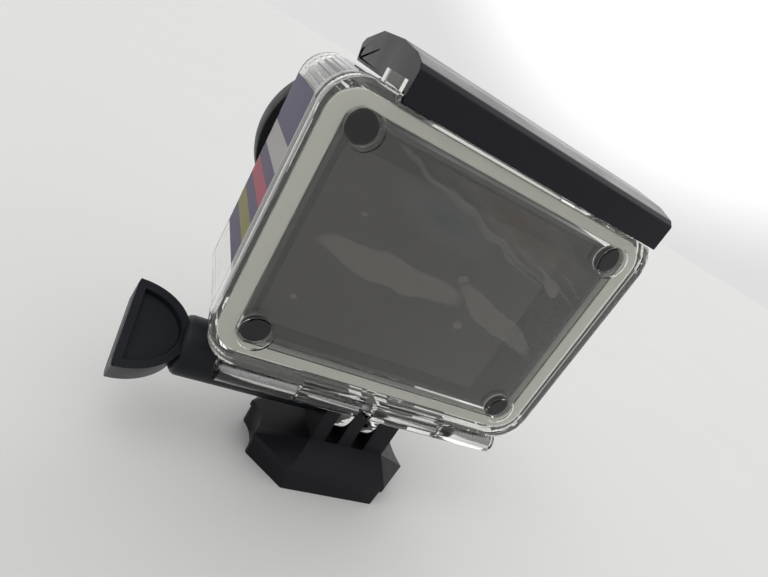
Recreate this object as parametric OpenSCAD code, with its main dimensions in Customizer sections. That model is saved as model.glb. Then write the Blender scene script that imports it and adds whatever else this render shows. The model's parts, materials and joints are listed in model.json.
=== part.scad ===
// Compact action camera in a clear diving housing, on a tripod adapter with a long thumbscrew.
// Millimetres. +Z is up and the lens faces -Y, so the door and the screen face +Y.
// The origin is the mouth of the tripod socket, on the adapter's flat bottom.

/* [Placement] */
// Height of the tilt axis above the adapter's bottom
tilt_z = 17.8; // [17.5:0.1:18]
// Height of the housing's middle above the adapter's bottom
house_z = 50.8; // [50.5:0.1:51]
// Offset of the housing's middle from the adapter's middle
house_x = 3; // [2.5:0.5:3.5]
// Back face of the door
door_y = 13; // [12:0.5:13.5]

/* [Housing] */
// Width of the closing flange
flange_w = 69; // [68.5:0.5:70]
// Height of the closing flange
flange_h = 51; // [50.8:0.1:51.2]
// Corner radius of the flange
flange_r = 6.5; // [6:0.5:7]
// Thickness of the door
door_t = 3; // [2.8:0.1:3.2]
// Thickness of the shell's flange
flange_t = 2.6; // [2.4:0.1:2.8]
// Depth of the front shell from the seam to its front face
shell_d = 28; // [27.5:0.5:28.5]
// Wall of the clear shell
wall = 1.8; // [1.7:0.1:1.8]

/* [Lens port] */
// Offset of the lens axis from the housing's middle, sideways
lens_dx = 17.5; // [17:0.5:17.5]
// Offset of the lens axis from the housing's middle, upwards
lens_dz = 7; // [6.5:0.5:7]
// Outer radius of the port ring
port_r = 17.5; // [17.5:0.1:17.8]
// Length of the port ring in front of the shell
port_l = 7; // [7:0.5:8]

/* [Door hinge] */
// Radius of the hinge knuckles
knuckle_r = 2.6; // [2.4:0.1:2.6]
// Drop of the hinge axis below the housing's middle
hinge_drop = 28.4; // [28.4:0.1:28.6]
// Radius of the hinge and latch pins
pin_r = 1; // [0.9:0.05:1]

/* [Latch] */
// Length of the latch lever
latch_l = 57.6; // [57:0.2:58]
// Wall of the latch lever
latch_wall = 1.3; // [1.2:0.1:1.4]
// Height that the latch hook reaches below the top of the door's lip
hook_overlap = 0.3; // [0.2:0.05:0.3]

/* [Buttons] */
// Travel of each plunger
travel = 0.9; // [0.7:0.1:0.9]
// Radius of each plunger's cap
cap_r = 3.5; // [3.2:0.1:3.5]

/* [Camera] */
// Width of the camera
cam_w = 59.2; // [59:0.1:59.3]
// Height of the camera
cam_h = 41; // [40.8:0.1:41]
// Corner radius of the camera
cam_r = 4; // [3.5:0.5:4]
// Wall of the camera's covers
cam_wall = 1.5; // [1.4:0.1:1.5]

/* [Adapter] */
// Thickness of each clamping fin
fin_t = 3; // [2.9:0.05:3]
// Gap between two fins of the adapter
fin_gap = 3.2; // [3.2:0.05:3.3]
// Radius of the rounded fins
fin_r = 7.5; // [7.3:0.1:7.5]
// Greatest width of the adapter's foot
foot_w = 36; // [35:0.5:37]
// Depth of the adapter's foot
foot_d = 26; // [25:0.5:27]
// Height of the upright band around the foot
band_h = 5.5; // [5:0.5:6]
// Radius of the tripod screw hole
socket_r = 3.2; // [3.175:0.025:3.25]

/* [Thumbscrew] */
// Radius of the round neck
neck_r = 5.8; // [5.6:0.1:6]
// Distance of the knob's outer end from the adapter's middle
knob_end = 48.5; // [48:0.5:50]
// Width of the half-oval head across its flat end
knob_h = 16.5; // [16:0.5:17]
// Length of the half-oval head
knob_l = 10.7; // [10.4:0.1:10.8]
// Thickness of the half-oval head
knob_t = 8.5; // [8:0.5:9]
// Turn of the knob about its screw, from faces upright
knob_turn = 52; // [0:1:180]
// Radius of the clamping screw
screw_r = 2.45; // [2.4:0.05:2.45]

/* [Hidden] */
$fn = 48;

// Housing planes
seam_y = door_y - door_t;
seam_gap = 0.1;
front_y = seam_y - shell_d;
shell_w = flange_w - 1;
shell_h = flange_h - 0.6;
shell_r = flange_r - 0.5;
roll_r = 3.5;
flange_top = house_z + flange_h / 2;
flange_low = house_z - flange_h / 2;
side_x = house_x - shell_w / 2;
lens_x = house_x + lens_dx;
lens_z = house_z + lens_dz;
boss_dx = 27;
boss_dz = 18.65;
boss_r = 2.9;
boss_mark = 0.5;
boss_end = seam_y - 0.3;
groove_d = 0.8;

// Hinge of the door, about X
hinge_y = seam_y;
hinge_z = house_z - hinge_drop;
bore_r = pin_r + 0.05;
knuckle_gap = 0.3;
shell_knuckles = [[15, 29.5], [-32, -17.5]];
door_knuckles = [[1.5, 15 - knuckle_gap], [-17.5 + knuckle_gap, -1.5]];

// Latch, pivoted at the top front of the shell, about X
latch_y = front_y - 2;
latch_z = flange_top + 1.8;
latch_x0 = house_x - 33.4;
latch_x1 = latch_x0 + latch_l;
latch_front = latch_y - 2.7;
latch_dome = flange_top + 6.9;
latch_low = flange_top + 0.15;
hook_low = flange_top - 1.1;
lug_xs = [house_x + 14.5, house_x - 26.5];
lug_w = 4;
lug_r = 2;

// Lens port, from the shell's front face forwards
barrel_r = 14.4;
barrel_in = 12.8;
barrel_end = front_y - 2.4;
seal_t = 0.5;
port_end = front_y - port_l;
glass_t = 1.8;
port_screw_r = 0.7;
port_screw_pcr = 16.05;
port_mouth_r = 11.8;

// Camera box
cam_back = seam_y - 1;
cam_front = cam_back - 23.4;
cam_split = seam_y - 6.7;
cam_top = house_z + cam_h / 2;
cam_low = house_z - cam_h / 2;
cam_left = house_x - cam_w / 2;
cam_right = house_x + cam_w / 2;

// Plungers: local +Z points into the housing and z = 0 is the shell's outer face
stem_r = 1.2;
well_r = cap_r + 0.2;
well_out = well_r + 1;
well_h = 2.4;
front_reach = cam_front - travel - front_y;
side_reach = cam_left - travel - side_x;
power_at = [house_x - 21.5, house_z + 12];
shutter_at = [house_x - 21.5, house_z - 6];
up_at = [-4, house_z + 8];
down_at = [-4, house_z - 6];

// Clamp
pitch = fin_t + fin_gap;
prong_t = fin_gap - 0.2;
nut_boss = pitch + fin_t / 2 + 1.8;
fin_bore = 2.7;
nut_af = 8;
nut_t = 3.2;

// A rectangle with round corners
module rrect(w, h, r) {
    square([w - 2 * r, h], center = true);
    square([w, h - 2 * r], center = true);
    for (x = [-1, 1], z = [-1, 1])
        translate([x * (w / 2 - r), z * (h / 2 - r)]) circle(r);
}

// Its outline in X and Z, extruded from y0 to y1
module slab(y0, y1) translate([0, y1, 0]) rotate([90, 0, 0]) linear_extrude(y1 - y0) children();

// An outline in Y and Z, extruded from x0 to x1
module bar(x0, x1) translate([x0, 0, 0]) rotate([90, 0, 90]) linear_extrude(x1 - x0) children();

module rod_x(x0, x1, r) translate([x0, 0, 0]) rotate([0, 90, 0]) cylinder(h = x1 - x0, r = r);

module rod_y(y0, y1, r) translate([0, y1, 0]) rotate([90, 0, 0]) cylinder(h = y1 - y0, r = r);

// A block between two corners
module block(a, b) translate(a) cube(b - a);

// A round-cornered box, open ended at the back, with a rolled front edge of radius e
module rolled_box(w, h, r, e, y0, y1) {
    hull() for (x = [-1, 1], z = [-1, 1]) translate([x * (w / 2 - r), 0, z * (h / 2 - r)]) {
        translate([0, y0 + e, 0]) rotate([90, 0, 0]) rotate_extrude($fn = 32) intersection() {
            translate([r - e, 0]) circle(e, $fn = 16);
            translate([0, -e]) square([r, 2 * e]);
        }
        rod_y(y1 - 1, y1, r, $fn = 32);
    }
}

module at_house() translate([house_x, 0, house_z]) children();

module at_bosses() for (x = [-1, 1], z = [-1, 1])
    translate([house_x + x * boss_dx, 0, house_z + z * boss_dz]) children();

module at_lens() translate([lens_x, 0, lens_z]) children();

module at_hinge() translate([0, hinge_y, hinge_z]) children();

module at_latch() translate([0, latch_y, latch_z]) children();

module on_front(p) translate([p[0], front_y, p[1]]) rotate([-90, 0, 0]) children();

module on_side(p) translate([side_x, p[0], p[1]]) rotate([0, 90, 0]) children();

// ---- Adapter and clamp ----

module foot_octagon(grow) {
    corner_w = 11 + grow;
    flank = 5;
    polygon([
        [-corner_w, -foot_d / 2 - grow], [corner_w, -foot_d / 2 - grow],
        [foot_w / 2 + grow, -flank], [foot_w / 2 + grow, flank],
        [corner_w, foot_d / 2 + grow], [-corner_w, foot_d / 2 + grow],
        [-foot_w / 2 - grow, flank], [-foot_w / 2 - grow, -flank]
    ]);
}

module foot_scallops() {
    scallop_r = 9;
    waist = foot_w / 2 - 1.5;
    for (s = [-1, 1]) translate([s * (waist + scallop_r), 0]) circle(scallop_r);
}

module fin_plan(root_z) {
    translate([0, tilt_z]) circle(fin_r);
    translate([-fin_r, root_z]) square([2 * fin_r, tilt_z - root_z]);
}

module tripod_adapter() color([0.09, 0.09, 0.10]) {
    root_z = 9.5;
    lip = 0.4;
    lip_h = 1.2;
    difference() {
        union() {
            linear_extrude(band_h - lip_h) foot_octagon(-lip);
            hull() {
                translate([0, 0, band_h - lip_h]) linear_extrude(lip_h) foot_octagon(0);
                block([-nut_boss, -fin_r, band_h], [pitch + fin_t / 2, fin_r, root_z]);
            }
            for (i = [-1, 0, 1]) bar(i * pitch - fin_t / 2, i * pitch + fin_t / 2) fin_plan(band_h);
            bar(-nut_boss, -pitch) fin_plan(band_h);
        }
        translate([0, 0, -1]) linear_extrude(root_z + 2) foot_scallops();
        translate([0, 0, tilt_z]) rod_x(-nut_boss - 1, pitch + fin_t, fin_bore);
        translate([-nut_boss - 1, 0, tilt_z]) rotate([0, 90, 0])
            cylinder(h = nut_t + 1.1, r = (nut_af + 0.2) / 2 / cos(30), $fn = 6);
        translate([0, 0, -1]) cylinder(h = 8.5, r = socket_r + 1.6);
    }
}

module tripod_insert() color([0.80, 0.66, 0.36]) difference() {
    cylinder(h = 7.5, r = socket_r + 1.6);
    translate([0, 0, -1]) cylinder(h = 9.5, r = socket_r);
}

module clamp_nut() color([0.72, 0.73, 0.75]) translate([-nut_boss, 0, tilt_z]) rotate([0, 90, 0])
    difference() {
        cylinder(h = nut_t, r = nut_af / 2 / cos(30), $fn = 6);
        translate([0, 0, -1]) cylinder(h = nut_t + 2, r = screw_r + 0.05);
    }

// The head's outline: half an oval, with its flat at the outer end
module knob_oval(inset) {
    top = knob_h / 2;
    intersection() {
        translate([knob_end, 0]) scale([knob_l / top, 1]) circle(top - inset);
        translate([0, -top]) square([knob_end - inset, 2 * top]);
    }
}

module thumbscrew_knob() color([0.10, 0.11, 0.13]) translate([0, 0, tilt_z]) rotate([knob_turn, 0, 0]) {
    rim = 1.5;
    pocket_d = 1.4;
    neck_end = knob_end - knob_l + 1.1;
    difference() {
        union() {
            rod_x(pitch + fin_t / 2 + 0.4, neck_end, neck_r);
            slab(-knob_t / 2, knob_t / 2) knob_oval(0);
        }
        for (s = [-1, 1]) slab(s * knob_t / 2 - pocket_d, s * knob_t / 2 + pocket_d) knob_oval(rim);
        rod_x(0, 30, screw_r + 0.02);
    }
}

module thumbscrew_bolt() color([0.72, 0.73, 0.75]) translate([0, 0, tilt_z])
    rod_x(-nut_boss + 0.2, 29.8, screw_r);

// ---- Housing ----

module plunger_well() difference() {
    translate([0, 0, -well_h]) cylinder(h = well_h + 0.5, r = well_out);
    translate([0, 0, -well_h - 1]) cylinder(h = well_h + 1, r = well_r);
}

module plunger_bore() {
    translate([0, 0, -0.01]) cylinder(h = wall + 2, r = stem_r + 0.05);
    translate([0, 0, -0.01]) cylinder(h = 0.81, r = 2);
}

module latch_lug() {
    circle(lug_r);
    polygon([[-lug_r, 0], [-1.2, -1.6], [2.05, -2.5], [2.2, -3.8], [7, -3.6], [10, -2.6], [10, -1.2], [0, lug_r]]);
}

module housing_shell() color([0.86, 0.88, 0.90, 0.35]) difference() {
    union() {
        at_house() difference() {
            union() {
                rolled_box(shell_w, shell_h, shell_r, roll_r, front_y, seam_y);
                slab(seam_y - flange_t, seam_y) rrect(flange_w, flange_h, flange_r);
            }
            rolled_box(shell_w - 2 * wall, shell_h - 2 * wall, shell_r - wall, roll_r - wall,
                front_y + wall, seam_y + 1);
        }
        at_lens() rod_y(barrel_end, front_y + 1, barrel_r);
        for (s = [-1, 1])
            bar(s * pitch / 2 - prong_t / 2, s * pitch / 2 + prong_t / 2) shell_prong();
        for (k = shell_knuckles) bar(house_x + k[0], house_x + k[1]) {
            translate([hinge_y, hinge_z]) circle(knuckle_r);
            translate([hinge_y - 2.4, hinge_z]) square([2.2, flange_low + 0.5 - hinge_z]);
        }
        for (x = lug_xs) at_latch() bar(x, x + lug_w) latch_lug();
        for (p = [power_at, shutter_at]) on_front(p) plunger_well();
        for (p = [up_at, down_at]) on_side(p) plunger_well();
    }
    at_lens() rod_y(barrel_end - 1, front_y + wall + 1, barrel_in);
    translate([0, 0, tilt_z]) rod_x(-20, 20, fin_bore);
    at_hinge() rod_x(-40, 40, bore_r);
    at_latch() rod_x(-40, 40, bore_r);
    for (p = [power_at, shutter_at]) on_front(p) plunger_bore();
    for (p = [up_at, down_at]) on_side(p) plunger_bore();
    at_lens() port_screw_ring() rod_y(front_y - 1, front_y + 1.2, port_screw_r);
}

module shell_prong() {
    neck = fin_r - 0.6;
    translate([0, tilt_z]) circle(fin_r);
    translate([-neck, tilt_z]) square([2 * neck, flange_low + 1.3 - tilt_z]);
}

module port_screw_ring() for (a = [30:60:330]) rotate([0, a, 0]) translate([port_screw_pcr, 0, 0]) children();

// The gasket's outline in the door's groove, and the narrower lip inside the shell's mouth
module gasket_hole(grow) rrect(flange_w - 8.6 - grow, flange_h - 8.2 - grow, flange_r - 5.5);

module gasket_base(grow) difference() {
    rrect(flange_w - 2.6 + grow, flange_h - 3.8 + grow, flange_r - 1.5);
    gasket_hole(grow);
}

module gasket_lip() difference() {
    rrect(flange_w - 5.2, flange_h - 4.8, flange_r - 2.4);
    gasket_hole(0);
}

module back_door() color([0.86, 0.88, 0.90, 0.35]) difference() {
    union() {
        difference() {
            at_house() slab(seam_y + seam_gap, door_y) rrect(flange_w, flange_h, flange_r);
            block([latch_x0 - 0.3, seam_y - 1, hook_low - 0.15], [latch_x1 + 0.3, door_y + 1, flange_top + 1]);
        }
        at_bosses() rod_y(boss_end, seam_y + 1, boss_r);
        for (k = door_knuckles) bar(house_x + k[0], house_x + k[1]) {
            translate([hinge_y, hinge_z]) circle(knuckle_r);
            translate([hinge_y + 0.2, hinge_z]) square([2.2, flange_low + 0.5 - hinge_z]);
        }
        block([latch_x0 + 6, seam_y + 0.2, hook_low - 1],
            [latch_x1 - 6, seam_y + 1, hook_low + hook_overlap]);
        block([latch_x1 + 0.6, seam_y + 0.2, flange_top - 1], [latch_x1 + 3.4, door_y - 0.4, flange_top + 2]);
    }
    at_house() slab(seam_y - 1, seam_y + groove_d) gasket_base(0.1);
    at_bosses() difference() {
        rod_y(door_y - boss_mark, door_y + 1, boss_r + 0.3);
        rod_y(door_y - 1, door_y + 2, boss_r);
    }
    at_hinge() rod_x(-40, 40, bore_r);
}

// Rubber pads on the ends of the bosses, just clear of the camera
module door_pads() color([0.10, 0.10, 0.10]) at_bosses() rod_y(boss_end - 0.4, boss_end, boss_r - 0.3);

module door_gasket() color([0.90, 0.89, 0.84]) at_house() {
    slab(seam_y + seam_gap / 2, seam_y + groove_d) gasket_base(0);
    slab(seam_y - 2, seam_y + groove_d) gasket_lip();
}

module hinge_pin() color([0.72, 0.73, 0.75]) at_hinge()
    rod_x(house_x - 31.7, house_x + 29.2, pin_r);

module latch_pin() color([0.72, 0.73, 0.75]) at_latch() rod_x(latch_x0 + 0.3, latch_x1 - 0.3, pin_r);

// Outline of the lever's end, from the front lip round the domed top to the hook at the back
module latch_outline() polygon([
    [latch_front, latch_z + 1.6], [latch_front + 1.4, latch_z + 2.8], [latch_front + 10, latch_dome],
    [latch_front + 22.5, latch_dome], [door_y - 5, latch_dome - 0.9], [door_y - 1, latch_dome - 2],
    [door_y, latch_dome - 2.9], [door_y, hook_low], [door_y - latch_wall, hook_low],
    [door_y - latch_wall, latch_low], [latch_front + 2, latch_low]
]);

// The hollow under the lever, open below
module latch_hollow() {
    front = latch_front + latch_wall;
    back = door_y - latch_wall;
    top = latch_dome - latch_wall;
    polygon([
        [front, latch_z + 1.6], [front + 1.4, latch_z + 2.2], [front + 9, top],
        [back - 12.5, top], [back - 4, top - 0.9], [back, top - 2.4],
        [back, hook_low - 1], [front, hook_low - 1]
    ]);
}

module latch_lever() color([0.30, 0.30, 0.33]) difference() {
    bar(latch_x0, latch_x1) latch_outline();
    difference() {
        bar(latch_x0 + 1.6, latch_x1 - 1.6) latch_hollow();
        for (x = lug_xs, s = [-1.9, lug_w + 0.4]) bar(x + s, x + s + 1.5)
            translate([latch_y - 4, latch_z - 4]) square([8, 8]);
    }
    for (x = lug_xs) at_latch() rod_x(x - 0.4, x + lug_w + 0.4, 3.5);
    at_latch() rod_x(-60, 60, bore_r);
}

// ---- Lens port ----

module port_ring() color([0.12, 0.12, 0.13]) at_lens() difference() {
    rod_y(port_end, front_y - 0.05, port_r);
    rod_y(port_end - 1, front_y + 1, port_mouth_r);
    rod_y(port_end + 1.8, front_y + 1, barrel_r + 0.2);
    port_screw_ring() rod_y(port_end - 1, front_y + 1, port_screw_r + 0.05);
    port_screw_ring() rod_y(port_end - 1, port_end + 1, 1.25);
}

module port_glass() color([0.85, 0.90, 0.92, 0.3]) at_lens()
    rod_y(barrel_end - seal_t - glass_t, barrel_end - seal_t, barrel_r);

module port_seal() color([0.20, 0.20, 0.20]) at_lens() difference() {
    rod_y(barrel_end - seal_t, barrel_end, barrel_r - 0.1);
    rod_y(barrel_end - 2, barrel_end + 1, barrel_in + 0.1);
}

module port_screws() color([0.72, 0.73, 0.75]) at_lens() port_screw_ring() {
    rod_y(port_end + 1, front_y + 1.15, port_screw_r);
    difference() {
        rod_y(port_end + 0.2, port_end + 1, 1.2);
        slab(port_end, port_end + 0.5) square([1.8, 0.4], center = true);
    }
}

// ---- Plungers ----

module plunger(reach) {
    difference() {
        union() {
            translate([0, 0, -4.4]) cylinder(h = 0.5, r1 = cap_r - 0.5, r2 = cap_r);
            translate([0, 0, -3.9]) cylinder(h = 2, r = cap_r);
        }
        translate([0, 0, -4.5]) cylinder(h = 0.3, r = cap_r - 1.1);
    }
    translate([0, 0, -2]) cylinder(h = 2 + reach, r = stem_r - 0.4);
    translate([0, 0, -2]) cylinder(h = 3.9, r = stem_r);
    translate([0, 0, 2.35]) cylinder(h = reach - 2.35, r = stem_r);
}

module plunger_seal() translate([0, 0, 0.4]) rotate_extrude() translate([1.6, 0]) circle(0.33, $fn = 24);

module retaining_clip() translate([0, 0, 1.9]) difference() {
    cylinder(h = 0.4, r = 2.1);
    translate([0, 0, -1]) cylinder(h = 3, r = stem_r - 0.38);
    translate([0, -0.6, -1]) cube([4, 1.2, 3]);
}

// A round-wire coil spring, as rings of points swept along a helix
coil_sides = 8;
coil_steps = 40;

function coil_point(i, j, r, wire, length, turns) =
    let (a = 360 * turns * i / coil_steps, b = 360 * j / coil_sides, out = r + wire * cos(b))
    [out * cos(a), out * sin(a), wire + (length - 2 * wire) * i / coil_steps + wire * sin(b)];

module coil_spring(r, wire, length, turns) polyhedron(
    points = [for (i = [0:coil_steps], j = [0:coil_sides - 1]) coil_point(i, j, r, wire, length, turns)],
    faces = concat(
        [[for (j = [0:coil_sides - 1]) j]],
        [[for (j = [coil_sides - 1:-1:0]) coil_steps * coil_sides + j]],
        [for (i = [0:coil_steps - 1], j = [0:coil_sides - 1])
            let (k = (j + 1) % coil_sides)
            [i * coil_sides + j, (i + 1) * coil_sides + j, (i + 1) * coil_sides + k, i * coil_sides + k]]
    )
);

module plunger_spring() translate([0, 0, -1.85]) coil_spring(2.6, 0.22, 1.8, 2.5);

module plunger_seals() color([0.15, 0.15, 0.15]) {
    for (p = [power_at, shutter_at]) on_front(p) plunger_seal();
    for (p = [up_at, down_at]) on_side(p) plunger_seal();
}

module power_plunger() color([0.75, 0.76, 0.78]) on_front(power_at) plunger(front_reach);

module shutter_plunger() color([0.75, 0.76, 0.78]) on_front(shutter_at) plunger(front_reach);

module up_plunger() color([0.75, 0.76, 0.78]) on_side(up_at) plunger(side_reach);

module down_plunger() color([0.75, 0.76, 0.78]) on_side(down_at) plunger(side_reach);

module power_spring() color([0.72, 0.73, 0.75]) on_front(power_at) plunger_spring();

module shutter_spring() color([0.72, 0.73, 0.75]) on_front(shutter_at) plunger_spring();

module up_spring() color([0.72, 0.73, 0.75]) on_side(up_at) plunger_spring();

module down_spring() color([0.72, 0.73, 0.75]) on_side(down_at) plunger_spring();

module power_clip() color([0.72, 0.73, 0.75]) on_front(power_at) retaining_clip();

module shutter_clip() color([0.72, 0.73, 0.75]) on_front(shutter_at) retaining_clip();

module up_clip() color([0.72, 0.73, 0.75]) on_side(up_at) retaining_clip();

module down_clip() color([0.72, 0.73, 0.75]) on_side(down_at) retaining_clip();

// ---- Camera ----

key_r = 2.4;
key_l = 2.1;

module key_cap(reach) translate([0, 0, reach]) cylinder(h = key_l, r = key_r);

module power_button() color([0.55, 0.56, 0.58]) on_front(power_at) key_cap(front_reach);

module shutter_button() color([0.55, 0.56, 0.58]) on_front(shutter_at) key_cap(front_reach);

module up_button() color([0.55, 0.56, 0.58]) on_side(up_at) key_cap(side_reach);

module down_button() color([0.55, 0.56, 0.58]) on_side(down_at) key_cap(side_reach);

module key_hole(reach) translate([0, 0, reach - 1]) cylinder(h = key_l + 2, r = key_r + 0.15);

module key_switch(reach) translate([-2, -2, reach + key_l + travel + 0.05]) cube([4, 4, 0.9]);

module key_switches() color([0.15, 0.15, 0.16]) {
    for (p = [power_at, shutter_at]) on_front(p) key_switch(front_reach);
    for (p = [up_at, down_at]) on_side(p) key_switch(side_reach);
}

screw_dx = cam_w / 2 - 2.7;
screw_dz = cam_h / 2 - 2.7;

module at_case_screws() for (x = [-1, 1], z = [-1, 1])
    translate([house_x + x * screw_dx, 0, house_z + z * screw_dz]) children();

// Battery bay: low x, high x, low y, high y
bay = [house_x - 24.6, house_x + 4.6, -8.6, 1.4];

module front_cover() color([0.17, 0.17, 0.19]) difference() {
    union() {
        at_house() difference() {
            rolled_box(cam_w, cam_h, cam_r, 2, cam_front, cam_split);
            rolled_box(cam_w - 2 * cam_wall, cam_h - 2 * cam_wall, cam_r - cam_wall, 0.8,
                cam_front + cam_wall, cam_split + 1);
        }
        at_case_screws() rod_y(cam_front + 1, cam_split, 1.9);
    }
    at_lens() rod_y(cam_front - 1, cam_front + 3, 8.2);
    at_case_screws() rod_y(-7, cam_split + 1, 0.8);
    for (p = [power_at, shutter_at]) on_front(p) key_hole(front_reach);
    for (p = [up_at, down_at]) on_side(p) key_hole(side_reach);
    block([bay[0] - 0.2, bay[2] - 0.2, cam_low - 1], [bay[1] + 0.2, bay[3] + 0.2, cam_low + 2.5]);
    block([cam_right - 3, 0.3, house_z - 15], [cam_right + 1, 1.7, house_z - 3]);
    block([cam_right - 3, -1, house_z + 1.8], [cam_right + 1, 2, house_z + 9.7]);
    block([cam_right - 3, -1, house_z + 10.1], [cam_right + 1, 2, house_z + 15.9]);
}

module rear_cover() color([0.13, 0.12, 0.12]) at_house() difference() {
    slab(cam_split + 0.1, cam_back) rrect(cam_w, cam_h, cam_r);
    slab(cam_split, cam_back - 1) rrect(cam_w - 2 * cam_wall, cam_h - 2 * cam_wall, cam_r - cam_wall);
    slab(cam_back - 1, cam_back + 1) rrect(cam_w - 1.6, cam_h - 1.6, cam_r - 0.8);
    for (x = [-1, 1], z = [-1, 1]) translate([x * screw_dx, 0, z * screw_dz])
        rod_y(cam_split, cam_split + 1.15, 1.25);
}

module case_screws() color([0.72, 0.73, 0.75]) at_case_screws() {
    rod_y(-6.8, cam_split + 0.1, 0.75);
    rod_y(cam_split + 0.1, cam_split + 1.1, 1.2);
}

// A printed strip with colour bands on the shell's lens side
strip_t = 0.15;

module side_label() color([0.31, 0.25, 0.42]) {
    x = house_x + shell_w / 2;
    block([x, front_y + roll_r + 1, house_z - 11.5], [x + strip_t, seam_y - flange_t - 1.2, house_z + 19]);
}

module screen_glass() color([0.10, 0.09, 0.09, 0.6])
    at_house() slab(cam_back - 1, cam_back) rrect(cam_w - 1.7, cam_h - 1.7, cam_r - 0.85);

module screen_film() color([0.85, 0.86, 0.88, 0.25])
    at_house() slab(cam_back + 0.03, cam_back + 0.12) rrect(cam_w - 2.6, cam_h - 2.6, cam_r - 1.3);

lcd_at = [house_x + 4.3, house_z - 0.6];

module lcd_panel() color([0.35, 0.34, 0.31])
    translate([lcd_at[0], 0, lcd_at[1]]) slab(cam_back - 4, cam_back - 1) square([46.8, 33], center = true);

module main_board() color([0.05, 0.25, 0.12])
    at_house() slab(2.1, 3.2) square([cam_w - 3.4, 31], center = true);

module sensor_board() color([0.05, 0.25, 0.12]) at_lens() slab(-1.9, -0.9) square([16, 16], center = true);

module image_sensor() color([0.25, 0.25, 0.30]) at_lens() slab(-2.7, -1.9) square([7, 6], center = true);

module lens_barrel() color([0.10, 0.10, 0.11]) at_lens() difference() {
    union() {
        rod_y(cam_front - 3.6, -4, 8);
        slab(-4, -1.9) square([17, 17], center = true);
    }
    rod_y(cam_front - 5, cam_front - 2.4, 7.1);
    rod_y(cam_front - 3, -6, 5);
    rod_y(-7, -4, 4.1);
    slab(-4.5, -1) square([13, 13], center = true);
}

module front_lens() color([0.55, 0.60, 0.75, 0.5]) at_lens() rod_y(cam_front - 3.4, cam_front - 2.4, 7.05);

module rear_lens() color([0.55, 0.60, 0.75, 0.5]) at_lens() rod_y(-6, -4.6, 4.05);

module lens_ring() color([0.55, 0.56, 0.58]) at_lens() difference() {
    rod_y(cam_front - 4.4, cam_front, 11);
    rod_y(cam_front - 5, cam_front + 1, 8.1);
}

module battery() color([0.20, 0.22, 0.26])
    block([bay[0] + 0.2, bay[2] + 0.2, cam_low + 1.5], [bay[1] - 0.2, bay[3] - 0.2, cam_low + 34.9]);

module battery_contacts() color([0.83, 0.68, 0.30]) for (i = [0:2])
    block([house_x - 15 + 3 * i, -5, cam_low + 34.9], [house_x - 13.4 + 3 * i, -1, cam_low + 36.4]);

module battery_door() color([0.17, 0.17, 0.19])
    block([bay[0], bay[2], cam_low], [bay[1], bay[3], cam_low + 1.4]);

module card_socket() color([0.75, 0.76, 0.78]) difference() {
    block([cam_right - 17, 0.2, house_z - 15.2], [cam_right - 3.4, 2.1, house_z - 2.8]);
    block([cam_right - 16.5, 0.55, house_z - 14.7], [cam_right - 1, 1.45, house_z - 3.3]);
}

module memory_card() color([0.10, 0.10, 0.12])
    block([cam_right - 15.2, 0.6, house_z - 14.5], [cam_right - 0.2, 1.4, house_z - 3.5]);

module port_shell(z0, z1) difference() {
    block([cam_right - 5, -0.8, z0], [cam_right - 0.2, 1.9, z1]);
    block([cam_right - 4.4, -0.4, z0 + 0.4], [cam_right + 1, 1.5, z1 - 0.4]);
}

module usb_port() color([0.75, 0.76, 0.78]) port_shell(house_z + 2, house_z + 9.5);

module hdmi_port() color([0.75, 0.76, 0.78]) port_shell(house_z + 10.3, house_z + 15.7);

module speaker() color([0.20, 0.20, 0.21]) translate([house_x - 12, 0, house_z - 13])
    rod_y(cam_front + cam_wall, cam_front + cam_wall + 3, 4.5);

module microphone() color([0.75, 0.76, 0.78]) translate([house_x - 10, 0, house_z + 16])
    rod_y(cam_front + cam_wall, cam_front + cam_wall + 1.6, 2);

tripod_adapter();
tripod_insert();
clamp_nut();
thumbscrew_knob();
thumbscrew_bolt();
housing_shell();
back_door();
door_pads();
door_gasket();
hinge_pin();
latch_lever();
latch_pin();
port_ring();
port_glass();
port_seal();
port_screws();
plunger_seals();
power_plunger();
shutter_plunger();
up_plunger();
down_plunger();
power_spring();
shutter_spring();
up_spring();
down_spring();
power_clip();
shutter_clip();
up_clip();
down_clip();
power_button();
shutter_button();
up_button();
down_button();
front_cover();
rear_cover();
case_screws();
side_label();
screen_glass();
screen_film();
lcd_panel();
main_board();
sensor_board();
image_sensor();
lens_barrel();
front_lens();
rear_lens();
lens_ring();
battery();
battery_contacts();
battery_door();
card_socket();
memory_card();
usb_port();
hdmi_port();
speaker();
microphone();
key_switches();
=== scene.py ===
import json
import math

import bmesh
import bpy
from mathutils import Matrix, Quaternion, Vector


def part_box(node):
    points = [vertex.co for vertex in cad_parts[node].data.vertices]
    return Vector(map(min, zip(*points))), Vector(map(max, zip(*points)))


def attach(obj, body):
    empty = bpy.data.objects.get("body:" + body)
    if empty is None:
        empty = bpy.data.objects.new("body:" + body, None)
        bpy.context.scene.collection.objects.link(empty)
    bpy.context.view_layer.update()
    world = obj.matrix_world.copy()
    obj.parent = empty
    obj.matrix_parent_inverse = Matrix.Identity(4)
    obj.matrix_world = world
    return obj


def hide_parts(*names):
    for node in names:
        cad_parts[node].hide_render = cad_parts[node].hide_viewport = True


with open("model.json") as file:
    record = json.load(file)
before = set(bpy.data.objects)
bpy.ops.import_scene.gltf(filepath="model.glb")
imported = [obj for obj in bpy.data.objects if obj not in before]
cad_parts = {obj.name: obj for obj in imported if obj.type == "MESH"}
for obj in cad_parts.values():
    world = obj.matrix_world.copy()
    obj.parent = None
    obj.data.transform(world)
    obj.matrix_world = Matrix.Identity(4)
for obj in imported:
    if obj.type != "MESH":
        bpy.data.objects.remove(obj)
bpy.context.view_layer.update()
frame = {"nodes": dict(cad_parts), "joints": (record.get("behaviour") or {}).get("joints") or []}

# ---- View ----
# The camera looks down on the back of the housing from close by, leaning to one side, so the
# door nearly fills the picture and the top edge runs down to the right.

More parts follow.
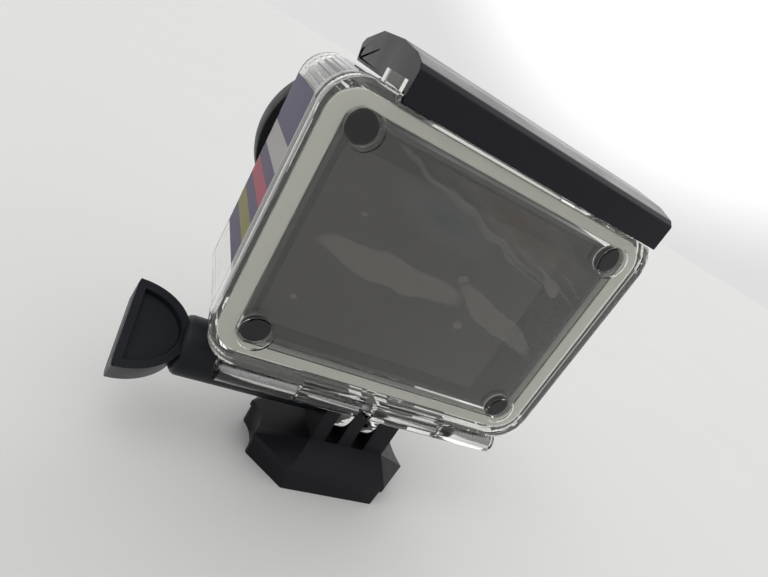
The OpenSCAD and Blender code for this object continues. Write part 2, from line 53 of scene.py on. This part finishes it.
MM = 0.001
screen_low, screen_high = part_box("screen_glass")
door_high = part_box("back_door")[1]
door_back = Vector(((screen_low.x + screen_high.x) / 2, door_high.y, (screen_low.z + screen_high.z) / 2))

azimuth, elevation, lean = math.radians(62.06), math.radians(19.18), math.radians(31.45)
toward = Vector((math.cos(elevation) * math.cos(azimuth), math.cos(elevation) * math.sin(azimuth),
                 math.sin(elevation)))
lens = bpy.data.cameras.new("view")
lens.lens = 25.81
lens.sensor_width = 36
lens.clip_start = 0.005
view = bpy.data.objects.new("view", lens)
stand = door_back + Vector((51.99, 76.92, 27.59)) * MM
turn = toward.to_track_quat("Z", "Y") @ Quaternion((0, 0, 1), lean)
view.matrix_world = Matrix.Translation(stand) @ turn.to_matrix().to_4x4()
bpy.context.collection.objects.link(view)
bpy.context.scene.camera = view
bpy.context.scene.view_settings.view_transform = "Standard"

# ---- Tripod adapter ----
# The foot and its three clamping fins are one moulding in black glass-filled nylon, pressed
# against a tripod head from below. The mould's fine spark finish leaves it half glossy.


def linear(colour):
    parts = [int(colour[i:i + 2], 16) / 255 for i in (1, 3, 5)]
    return tuple(c / 12.92 if c <= 0.04045 else ((c + 0.055) / 1.055) ** 2.4 for c in parts) + (1,)


def per(size):
    """Texture scale that gives features of this size in millimetres."""
    return 1 / (size * MM)


def node(finish, kind, sockets=None, **settings):
    made = finish.node_tree.nodes.new("ShaderNode" + kind)
    for name, value in settings.items():
        setattr(made, name, value)
    for name, value in (sockets or {}).items():
        if isinstance(value, bpy.types.NodeSocket):
            finish.node_tree.links.new(value, made.inputs[name])
        else:
            made.inputs[name].default_value = value
    return made


def moulded(name, colour, shade, patch, grain, depth, rough, **sockets):
    """A surface in two close shades over patches, with a grain of that size and depth in millimetres,
    and roughness that wanders between two values."""
    finish = bpy.data.materials.new(name)
    finish.use_nodes = True
    shader = finish.node_tree.nodes["Principled BSDF"]
    place = node(finish, "TexCoord").outputs["Object"]
    cloud = node(finish, "TexNoise", {"Vector": place, "Scale": per(patch), "Detail": 4})
    fine = node(finish, "TexNoise", {"Vector": place, "Scale": per(grain), "Detail": 3, "Roughness": 0.6})
    tint = node(finish, "Mix", data_type="RGBA")
    finish.node_tree.links.new(cloud.outputs["Fac"], tint.inputs[0])
    tint.inputs[6].default_value, tint.inputs[7].default_value = linear(colour), linear(shade)
    spread = node(finish, "MapRange", {"Value": cloud.outputs["Fac"], "From Min": 0.3, "From Max": 0.7,
                                       "To Min": rough[0], "To Max": rough[1]})
    relief = node(finish, "Bump", {"Height": fine.outputs["Fac"], "Distance": depth * MM, "Strength": 1})
    links = finish.node_tree.links
    links.new(tint.outputs[2], shader.inputs["Base Color"])
    links.new(spread.outputs[0], shader.inputs["Roughness"])
    links.new(relief.outputs[0], shader.inputs["Normal"])
    for socket, value in sockets.items():
        shader.inputs[socket.replace("_", " ")].default_value = value
    return finish


def dress(names, finish, round_edge=0):
    """Gives CAD nodes a finish, and a small round on their edges where one is given in millimetres."""
    for name in names.split():
        piece = frame["nodes"][name]
        piece.data.materials.clear()
        piece.data.materials.append(finish)
        if round_edge:
            join = piece.modifiers.new("join", "WELD")
            join.merge_threshold = 0.002 * MM
            edge = piece.modifiers.new("edge", "BEVEL")
            edge.width, edge.segments, edge.limit_method = round_edge * MM, 2, "ANGLE"
            edge.angle_limit = math.radians(35)
            edge.harden_normals = True


black_nylon = moulded("moulded_black_nylon", "#0d0e12", "#131419", 6, 0.25, 0.012, (0.34, 0.46),
                       Specular_IOR_Level=0.2)
dress("tripod_adapter", black_nylon, 0.5)

# ---- Tripod insert ----
# A turned brass bush is pressed into the foot and takes the tripod screw.

turned_brass = moulded("turned_brass", "#c39a4e", "#a8803a", 3, 0.2, 0.004, (0.22, 0.34), Metallic=1)
dress("tripod_insert", turned_brass, 0.2)

# ---- Thumbscrew ----
# The head and neck are one satin moulding in blue-black nylon over a stainless steel screw. The
# half-oval head has a shallow pocket in both faces, and its edges are rounded for the fingers.

tilt = next(j for j in frame["joints"] if j["name"] == "tilt")
axis_z = tilt["pos_m"][2]
knob_low, knob_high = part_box("thumbscrew_knob")

steel = moulded("plain_stainless_steel", "#a9abad", "#8d8f92", 2, 0.12, 0.003, (0.2, 0.34), Metallic=1)
knob_nylon = moulded("satin_blue_black_nylon", "#0e1015", "#15181e", 7, 0.2, 0.008, (0.32, 0.42),
                      Specular_IOR_Level=0.2)


def finished(name, shape, finish, body):
    """Closes a mesh's build: normals outward, one object at the origin, riding on its body."""
    bmesh.ops.remove_doubles(shape, verts=shape.verts, dist=0.001 * MM)
    bmesh.ops.recalc_face_normals(shape, faces=shape.faces)
    mesh = bpy.data.meshes.new(name)
    shape.to_mesh(mesh)
    shape.free()
    mesh.materials.append(finish)
    for face in mesh.polygons:
        face.use_smooth = True
    mesh.set_sharp_from_angle(angle=math.radians(40))
    piece = bpy.data.objects.new(name, mesh)
    bpy.context.collection.objects.link(piece)
    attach(piece, body)
    return piece


def rounded(piece, width, steps=3, angle=30):
    edge = piece.modifiers.new("edge", "BEVEL")
    edge.width, edge.segments, edge.limit_method = width * MM, steps, "ANGLE"
    edge.angle_limit = math.radians(angle)
    edge.harden_normals = True
    return piece


head_turn = math.radians(52)
head_w, head_l, head_t = 16.5 * MM, 10.7 * MM, 8.5 * MM
neck_r = 5.8 * MM
end_inset = 0.5 * MM
head = bmesh.new()
ring = bmesh.ops.create_circle(head, segments=72, radius=1)["verts"]
bmesh.ops.scale(head, verts=ring, vec=(head_l, head_w / 2, 1))
bmesh.ops.bisect_plane(head, geom=head.verts[:] + head.edges[:], plane_co=(0.4 * MM, 0, 0),
                       plane_no=(1, 0, 0), clear_outer=True)
bmesh.ops.contextual_create(head, geom=head.edges[:])
bmesh.ops.translate(head, verts=head.verts, vec=(0, 0, -head_t / 2))
top = bmesh.ops.extrude_face_region(head, geom=head.faces[:])
bmesh.ops.translate(head, verts=[v for v in top["geom"] if isinstance(v, bmesh.types.BMVert)],
                    vec=(0, 0, head_t))
bmesh.ops.recalc_face_normals(head, faces=head.faces)
upright = [e for e in head.edges if abs(e.verts[0].co.z - e.verts[1].co.z) > head_t / 2]
corners = [e for e in upright if e.calc_face_angle() > 0.6]
bmesh.ops.bevel(head, geom=corners, offset=1.5 * MM, segments=5, profile=0.5, affect="EDGES", material=-1)
outer = [e for e in head.edges if abs(e.verts[0].co.y - e.verts[1].co.y) > head_w / 2]
bmesh.ops.bevel(head, geom=outer, offset=1.4 * MM, segments=5, profile=0.5, affect="EDGES", material=-1)
for side in (-1, 1):
    face = max(head.faces, key=lambda f: f.calc_center_median().z * side)
    bmesh.ops.inset_region(head, faces=[face], thickness=1.5 * MM)
    bmesh.ops.translate(head, verts=face.verts, vec=(0, 0, -side * 0.01 * MM))
    face = max((f for f in head.faces if f.calc_center_median().z * side > head_t * 0.49),
               key=lambda f: f.calc_area())
    bmesh.ops.inset_region(head, faces=[face], thickness=0.35 * MM, depth=-1.4 * MM)
bmesh.ops.rotate(head, verts=head.verts, cent=(0, 0, 0),
                 matrix=Matrix.Rotation(head_turn - math.radians(90), 3, "X"))
bmesh.ops.translate(head, verts=head.verts, vec=(knob_high.x - end_inset, 0, axis_z))
knob = finished("knob_head", head, knob_nylon, "thumbscrew")
rounded(knob, 0.5, 4, 28)

neck = bmesh.new()
neck_x = knob_high.x - head_l
line = [(knob_low.x, 3.0 * MM), (knob_low.x, neck_r - 0.4 * MM), (knob_low.x + 0.4 * MM, neck_r),
        (neck_x - 0.6 * MM, neck_r), (neck_x + 0.1 * MM, neck_r - 0.25 * MM),
        (neck_x + 0.7 * MM, neck_r - 0.9 * MM), (neck_x + 1.0 * MM, neck_r - 2 * MM),
        (neck_x + 1.1 * MM, 0.5 * MM)]
points = [neck.verts.new((x, r, 0)) for x, r in line]
edges = [neck.edges.new(pair) for pair in zip(points, points[1:])]
bmesh.ops.spin(neck, geom=points + edges, cent=(0, 0, 0), axis=(1, 0, 0), angle=math.tau, steps=64,
               use_merge=True)
bmesh.ops.holes_fill(neck, edges=[e for e in neck.edges if e.is_boundary], sides=80)
bmesh.ops.translate(neck, verts=neck.verts, vec=(0, 0, axis_z))
neck = finished("knob_neck", neck, knob_nylon, "thumbscrew")
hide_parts("thumbscrew_knob")
dress("thumbscrew_bolt clamp_nut", steel, 0.15)

# ---- Clear shell ----
# The front half of the housing is moulded in clear polycarbonate with a polished finish. It is
# thick-walled and slightly warm in tone, and its handling leaves it a little hazy.


def clear_plastic(name, colour, haze, ripple):
    finish = bpy.data.materials.new(name)
    finish.use_nodes = True
    shader = finish.node_tree.nodes["Principled BSDF"]
    place = node(finish, "TexCoord").outputs["Object"]
    flow = node(finish, "TexNoise", {"Vector": place, "Scale": per(ripple), "Detail": 2})
    rub = node(finish, "TexNoise", {"Vector": place, "Scale": per(16), "Detail": 2, "Distortion": 0.6})
    spread = node(finish, "MapRange", {"Value": rub.outputs["Fac"], "From Min": 0.35, "From Max": 0.75,
                                       "To Min": haze[0], "To Max": haze[1]})
    relief = node(finish, "Bump", {"Height": flow.outputs["Fac"], "Distance": 0.02 * MM, "Strength": 0.5})
    links = finish.node_tree.links
    links.new(spread.outputs[0], shader.inputs["Roughness"])
    links.new(relief.outputs[0], shader.inputs["Normal"])
    shader.inputs["Base Color"].default_value = linear(colour)
    shader.inputs["Transmission Weight"].default_value = 1
    shader.inputs["IOR"].default_value = 1.5
    return finish


polycarbonate = clear_plastic("polished_polycarbonate", "#fafaf7", (0.0, 0.02), 14)
dress("housing_shell", polycarbonate, 0.4)

# ---- Back door ----
# The door is a flat clear plate with a round boss at each corner that presses the camera
# forward. Two knuckles run on the hinge pin, and a lug beside the latch guides the lever.

dress("back_door", polycarbonate, 0.3)

# ---- Door pads ----
# A black rubber pad is glued on the end of each boss, so that the camera can't rattle.

rubber = moulded("black_nitrile_rubber", "#0b0c0d", "#121314", 2, 0.2, 0.01, (0.55, 0.7), IOR=1.52)
dress("door_pads", rubber, 0.1)

# ---- Hinge and latch pins ----
# Two straight stainless pins are pressed through the knuckles and the latch's ears.

dress("hinge_pin latch_pin", steel, 0.1)

# ---- Door gasket ----
# A cream silicone ring fills the groove of the door. It has a soft rounded lip that the shell's
# mouth squeezes, and it is pushed in by hand.

silicone = moulded("cream_silicone", "#e9e9e2", "#dedfd6", 5, 0.3, 0.006, (0.32, 0.5), IOR=1.41,
                   Subsurface_Weight=0.15)
shader = silicone.node_tree.nodes["Principled BSDF"]
shader.inputs["Subsurface Radius"].default_value = (0.002, 0.0017, 0.0012)
seal_low, seal_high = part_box("door_gasket")
seal_mid = (seal_low + seal_high) / 2
seal_w, seal_h = seal_high.x - seal_low.x, seal_high.z - seal_low.z
base_t = 0.75 * MM
groove_gap = 0.03 * MM
hole_w, hole_h = seal_w - 6 * MM, seal_h - 4.4 * MM
seal = bmesh.new()
# The base in the groove, then the narrower lip inside the shell's mouth
for wide, tall, corner, front, back in (
        (seal_w, seal_h, 5 * MM, seal_high.y - base_t, seal_high.y - groove_gap),
        (seal_w - 2.6 * MM, seal_h - 1 * MM, 4.1 * MM, seal_low.y, seal_high.y - base_t / 2)):
    older = set(seal.faces)
    made = bmesh.ops.create_grid(seal, x_segments=1, y_segments=1, size=0.5)["verts"]
    bmesh.ops.scale(seal, verts=made, vec=(wide, tall, 1))
    bmesh.ops.bevel(seal, geom=made, offset=corner, segments=8, profile=0.5, affect="VERTICES", material=-1)
    plate = next(f for f in seal.faces if f not in older)
    strip_w = (tall - hole_h) / 2
    flat = bmesh.ops.inset_region(seal, faces=[plate], thickness=strip_w, use_boundary=True)["faces"]
    bmesh.ops.scale(seal, verts=plate.verts, vec=(hole_w / (wide - 2 * strip_w), 1, 1))
    bmesh.ops.delete(seal, geom=[plate], context="FACES_ONLY")
    bmesh.ops.translate(seal, verts=list({v for f in flat for v in f.verts}), vec=(0, 0, front))
    lift = bmesh.ops.extrude_face_region(seal, geom=flat)
    bmesh.ops.translate(seal, verts=[v for v in lift["geom"] if isinstance(v, bmesh.types.BMVert)],
                        vec=(0, 0, back - front))
bmesh.ops.rotate(seal, verts=seal.verts, cent=(0, 0, 0), matrix=Matrix.Rotation(math.radians(-90), 3, "X"))
bmesh.ops.translate(seal, verts=seal.verts, vec=(seal_mid.x, 0, seal_mid.z))
seal = rounded(finished("silicone_gasket", seal, silicone, "door"), 0.3, 3)
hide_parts("door_gasket")

# ---- Latch lever ----
# The lever is moulded in black plastic with a satin top, and turns on the latch pin. Its long
# back edge snaps over the door's lip.

latch_black = moulded("satin_black_latch_plastic", "#0f1016", "#16171e", 8, 0.3, 0.01, (0.26, 0.36),
                       Specular_IOR_Level=0.2)
dress("latch_lever", latch_black, 0.9)
lever_edge = frame["nodes"]["latch_lever"].modifiers["edge"]
lever_edge.segments, lever_edge.angle_limit = 4, math.radians(14)

# ---- Lens port ----
# A black ring with six screws clamps a flat window and its rubber seal on the shell's barrel.

port_black = moulded("matte_black_port_plastic", "#121214", "#19191b", 6, 0.25, 0.012, (0.42, 0.55),
                      Specular_IOR_Level=0.25)
window = clear_plastic("flat_port_window", "#f2f6f6", (0.0, 0.01), 20)
dress("port_ring", port_black, 0.4)
dress("port_glass", window, 0.15)
dress("port_seal plunger_seals", rubber)
dress("port_screws", steel, 0.08)

# ---- Plungers ----
# Each button is a turned aluminium cap and stem with a return spring outside the wall, and a
# clip and an O-ring that keep it in and keep water out.

satin_aluminium = moulded("satin_turned_aluminium", "#b9bbbd", "#a4a6a9", 3, 0.15, 0.004, (0.28, 0.4),
                          Metallic=1)
for key in ("power", "shutter", "up", "down"):
    dress(key + "_plunger", satin_aluminium, 0.2)
    dress(key + "_spring", steel)
    dress(key + "_clip", steel, 0.08)

# ---- Camera body ----
# The two covers are moulded in dark ABS with a fine grain, and four screws hold them together.

camera_abs = moulded("fine_grained_dark_abs", "#2b2a2c", "#343234", 7, 0.3, 0.02, (0.45, 0.6), IOR=1.53)
back_abs = moulded("smooth_dark_back_abs", "#262423", "#2e2c2a", 9, 0.25, 0.006, (0.3, 0.42), IOR=1.53)
painted_key = moulded("grey_painted_keys", "#77787c", "#6a6b70", 3, 0.15, 0.006, (0.3, 0.42), IOR=1.5)
dress("front_cover battery_door", camera_abs, 0.25)
dress("rear_cover", back_abs, 0.2)
dress("case_screws", steel, 0.08)
dress("lens_ring", painted_key, 0.3)
for key in ("power", "shutter", "up", "down"):
    dress(key + "_button", painted_key, 0.25)

# ---- Side strip ----
# A printed film with plain colour bands is stuck on the lens side of the housing. It is satin,
# and the print's edges are crisp.

strip_low, strip_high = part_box("side_label")
printed = bpy.data.materials.new("printed_colour_bands")
printed.use_nodes = True
shader = printed.node_tree.nodes["Principled BSDF"]
place = node(printed, "TexCoord").outputs["Object"]
height = node(printed, "SeparateXYZ", {"Vector": place})
along = node(printed, "MapRange", {"Value": height.outputs["Z"], "From Min": strip_low.z,
                                   "From Max": strip_high.z})
bands = node(printed, "ValToRGB", {"Fac": along.outputs[0]})
bands.color_ramp.interpolation = "CONSTANT"
stops = [(0.0, "#2f2148"), (0.138, "#68651b"), (0.252, "#2f2148"), (0.348, "#8a1f38"), (0.459, "#2f2148"),
         (0.554, "#928e8c"), (0.705, "#34284f")]
while len(bands.color_ramp.elements) < len(stops):
    bands.color_ramp.elements.new(0.5)
for stop, (at, colour) in zip(bands.color_ramp.elements, stops):
    stop.position, stop.color = at, linear(colour)
ink = node(printed, "TexNoise", {"Vector": place, "Scale": per(0.4), "Detail": 3})
press = node(printed, "Bump", {"Height": ink.outputs["Fac"], "Distance": 0.01 * MM, "Strength": 1})
printed.node_tree.links.new(bands.outputs["Color"], shader.inputs["Base Color"])
printed.node_tree.links.new(press.outputs[0], shader.inputs["Normal"])
shader.inputs["Roughness"].default_value = 0.4
shader.inputs["Specular IOR Level"].default_value = 0.2
dress("side_label", printed)

# ---- Screen ----
# The window is flat glass with a dark printed border. The display under it is switched off, so
# it shows as a slightly lighter warm grey.

panel_low, panel_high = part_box("lcd_panel")
screen = bpy.data.materials.new("bordered_screen_glass")
screen.use_nodes = True
shader = screen.node_tree.nodes["Principled BSDF"]
place = node(screen, "TexCoord").outputs["Object"]
mid = (panel_low + panel_high) / 2
view_w, view_h = panel_high.x - panel_low.x, panel_high.z - panel_low.z
centred = node(screen, "Mapping", {"Vector": place, "Location": (-mid.x, 0, -mid.z)})
apart = node(screen, "VectorMath", {0: centred.outputs[0]}, operation="ABSOLUTE")
sides = node(screen, "SeparateXYZ", {"Vector": apart.outputs[0]})
across = node(screen, "MapRange", {"Value": sides.outputs["X"], "From Min": view_w / 2 + 0.1 * MM,
                                   "From Max": view_w / 2 - 0.1 * MM})
upward = node(screen, "MapRange", {"Value": sides.outputs["Z"], "From Min": view_h / 2 + 0.1 * MM,
                                   "From Max": view_h / 2 - 0.1 * MM})
inside = node(screen, "Math", {0: across.outputs[0], 1: upward.outputs[0]}, operation="MULTIPLY")
blot = node(screen, "TexNoise", {"Vector": place, "Scale": per(22), "Detail": 3})
panel_tone = node(screen, "Mix", data_type="RGBA")
panel_tone.inputs[6].default_value = linear("#37342f")
panel_tone.inputs[7].default_value = linear("#3d3a35")
screen.node_tree.links.new(blot.outputs["Fac"], panel_tone.inputs[0])
face_tone = node(screen, "Mix", data_type="RGBA")
face_tone.inputs[6].default_value = linear("#0c0a09")
screen.node_tree.links.new(inside.outputs[0], face_tone.inputs[0])
screen.node_tree.links.new(panel_tone.outputs[2], face_tone.inputs[7])
screen.node_tree.links.new(face_tone.outputs[2], shader.inputs["Base Color"])
shader.inputs["Roughness"].default_value = 0.12
shader.inputs["Specular IOR Level"].default_value = 0.2
dress("screen_glass", screen)
display = moulded("switched_off_display", "#2a2826", "#302e2b", 6, 0.1, 0.002, (0.15, 0.25))
dress("lcd_panel", display)

# ---- Screen film ----
# A thin protective film is stuck on the window. Air is trapped under it in long pale bubbles,
# and it is creased where it was pressed down.

film = bpy.data.materials.new("protective_film_with_trapped_air")
film.use_nodes = True
shader = film.node_tree.nodes["Principled BSDF"]
place = node(film, "TexCoord").outputs["Object"]
wander = node(film, "TexNoise", {"Vector": place, "Scale": per(7), "Detail": 3})
shift = node(film, "VectorMath", {0: wander.outputs["Color"], 1: (0.5, 0.5, 0.5)}, operation="SUBTRACT")
swirl = node(film, "VectorMath", {0: shift.outputs[0], "Scale": 4 * MM}, operation="SCALE")
bent = node(film, "VectorMath", {0: place, 1: swirl.outputs[0]}, operation="ADD").outputs[0]
screen_mid = (screen_low + screen_high) / 2


def patch(x, z, long, wide, angle, soft=0.12):
    """One oval patch of air, placed from the screen's middle in millimetres."""
    local = node(film, "VectorMath", {0: bent, 1: (screen_mid.x + x * MM, 0, screen_mid.z + z * MM)},
                 operation="SUBTRACT")
    turned = node(film, "VectorRotate", {"Vector": local.outputs[0], "Axis": (0, 1, 0),
                                         "Angle": math.radians(angle)})
    sized = node(film, "VectorMath", {0: turned.outputs[0], 1: (2 / (long * MM), 0, 2 / (wide * MM))},
                 operation="MULTIPLY")
    reach = node(film, "VectorMath", {0: sized.outputs[0]}, operation="LENGTH")
    edge = node(film, "MapRange", {"Value": reach.outputs["Value"], "From Min": 1 + soft,
                                   "From Max": 1 - soft}, interpolation_type="SMOOTHSTEP")
    return edge.outputs[0]


def joined(patches):
    """The patches together, each point taking the strongest."""
    whole = patches[0]
    for value in patches[1:]:
        whole = node(film, "Math", {0: whole, 1: value}, operation="MAXIMUM").outputs[0]
    return whole


air = joined([patch(10, -0.3, 29, 5.6, 2), patch(-14.9, -1.7, 23, 4.9, 18), patch(-20.6, 9, 5.6, 2.4, 22),
              patch(19.7, 7.7, 0.8, 0.7, 0), patch(-2.9, 3.2, 2, 1.5, 0), patch(-7.8, -5, 1.9, 1.7, 0),
              patch(23.5, -11, 1.2, 1.1, 0)])
crease = joined([patch(2.3, 14.4, 35, 0.8, 14, 0.7), patch(-8.1, 13.7, 31, 0.9, 16.5, 0.7),
                 patch(-13.3, 14.6, 27, 0.6, 18, 0.7), patch(-2, 12.6, 24, 0.5, 15, 0.7)])
warm = patch(-7, 16.6, 30, 5.5, 13, 0.8)
cool = patch(6, 11.5, 15, 5, 12, 0.9)
tone = node(film, "Mix", {0: warm}, data_type="RGBA")
tone.inputs[6].default_value, tone.inputs[7].default_value = linear("#a7a49e"), linear("#6a4a3c")
tint = node(film, "Mix", {0: cool, 6: tone.outputs[2]}, data_type="RGBA")
tint.inputs[7].default_value = linear("#4d6478")
film.node_tree.links.new(tint.outputs[2], shader.inputs["Base Color"])
stain = node(film, "Math", {0: warm, 1: cool}, operation="ADD")
hint = node(film, "Math", {0: stain.outputs[0], 1: 0.9}, operation="MULTIPLY")
lines = node(film, "Math", {0: crease, 1: hint.outputs[0]}, operation="MAXIMUM")
shown = node(film, "Math", {0: air, 1: lines.outputs[0]}, operation="MAXIMUM")
cover = node(film, "MapRange", {"Value": shown.outputs[0], "To Min": 0.0, "To Max": 0.2})
press = node(film, "Bump", {"Height": shown.outputs[0], "Distance": 0.06 * MM, "Strength": 0.5})
film.node_tree.links.new(cover.outputs[0], shader.inputs["Alpha"])
film.node_tree.links.new(press.outputs[0], shader.inputs["Normal"])
shader.inputs["Roughness"].default_value = 0.25
shader.inputs["IOR"].default_value = 1.2
dress("screen_film", film)

# ---- Boards and parts inside the camera ----
# Green solder-masked boards carry the sensor and the key switches. They are held between the
# covers and can't be seen with the housing shut.

board = moulded("green_solder_mask", "#1c5a34", "#164a2a", 2, 0.5, 0.02, (0.25, 0.4), IOR=1.5)
sensor_glass = moulded("coated_sensor_window", "#20242c", "#2b2233", 3, 0.2, 0.002, (0.08, 0.14), IOR=1.52)
barrel_black = moulded("matte_black_lens_barrel", "#121214", "#1a1a1c", 3, 0.2, 0.01, (0.5, 0.65), IOR=1.5)
cell_wrap = moulded("dark_battery_wrap", "#24272e", "#2d3038", 6, 0.4, 0.01, (0.35, 0.5), IOR=1.5)
gold = moulded("gold_plated_contacts", "#d9b25c", "#c79d45", 1, 0.1, 0.002, (0.2, 0.3), Metallic=1)
card_black = moulded("black_card_plastic", "#141416", "#1c1c1f", 3, 0.2, 0.008, (0.4, 0.55), IOR=1.5)
plated = moulded("nickel_plated_sheet", "#b4b3ad", "#9c9b95", 2, 0.2, 0.003, (0.22, 0.32), Metallic=1)
lens_glass = clear_plastic("coated_lens_glass", "#d6dcf0", (0.01, 0.02), 10)
dress("main_board sensor_board", board, 0.1)
dress("image_sensor", sensor_glass)
dress("lens_barrel", barrel_black, 0.15)
dress("front_lens rear_lens", lens_glass)
dress("battery", cell_wrap, 0.4)
dress("battery_contacts", gold, 0.1)
dress("card_socket usb_port hdmi_port microphone", plated, 0.08)
dress("memory_card speaker key_switches", card_black, 0.1)

# ---- Studio ----
# A pale floor runs out to a pale surround of the same tone. The surround has two wide soft
# bright areas, one beyond the housing's front and one overhead.

floor = bmesh.new()
bmesh.ops.create_circle(floor, segments=64, radius=6, cap_ends=True)
mesh = bpy.data.meshes.new("floor")
floor.to_mesh(mesh)
floor.free()
floor = bpy.data.objects.new("floor", mesh)
bpy.context.collection.objects.link(floor)
paper = moulded("pale_floor_paper", "#d9d9d8", "#d6d6d5", 60, 2, 0.01, (0.8, 0.9))
mesh.materials.append(paper)

world = bpy.data.worlds.new("studio")
bpy.context.scene.world = world
world.use_nodes = True
sky = node(world, "TexCoord").outputs["Generated"]
up = node(world, "SeparateXYZ", {"Vector": sky})
rise = node(world, "MapRange", {"Value": up.outputs["Z"], "From Min": 0.1, "From Max": 0.8,
                                "To Min": 0.74, "To Max": 0.9})
glow = rise.outputs[0]
for away, half, strength in (((-0.61, -0.69, 0.62), 36, 0.9), ((0.55, 0.2, 0.81), 34, 0.8)):
    facing = node(world, "VectorMath", {0: sky, 1: Vector(away).normalized()}, operation="DOT_PRODUCT")
    lit = node(world, "MapRange", {"Value": facing.outputs["Value"],
                                   "From Min": math.cos(math.radians(half)),
                                   "From Max": math.cos(math.radians(half * 0.3)), "To Max": strength},
               interpolation_type="SMOOTHSTEP")
    glow = node(world, "Math", {0: glow, 1: lit.outputs[0]}, operation="ADD").outputs[0]
world.node_tree.links.new(glow, world.node_tree.nodes["Background"].inputs["Strength"])
world.node_tree.nodes["Background"].inputs["Color"].default_value = (1, 1, 1, 1)
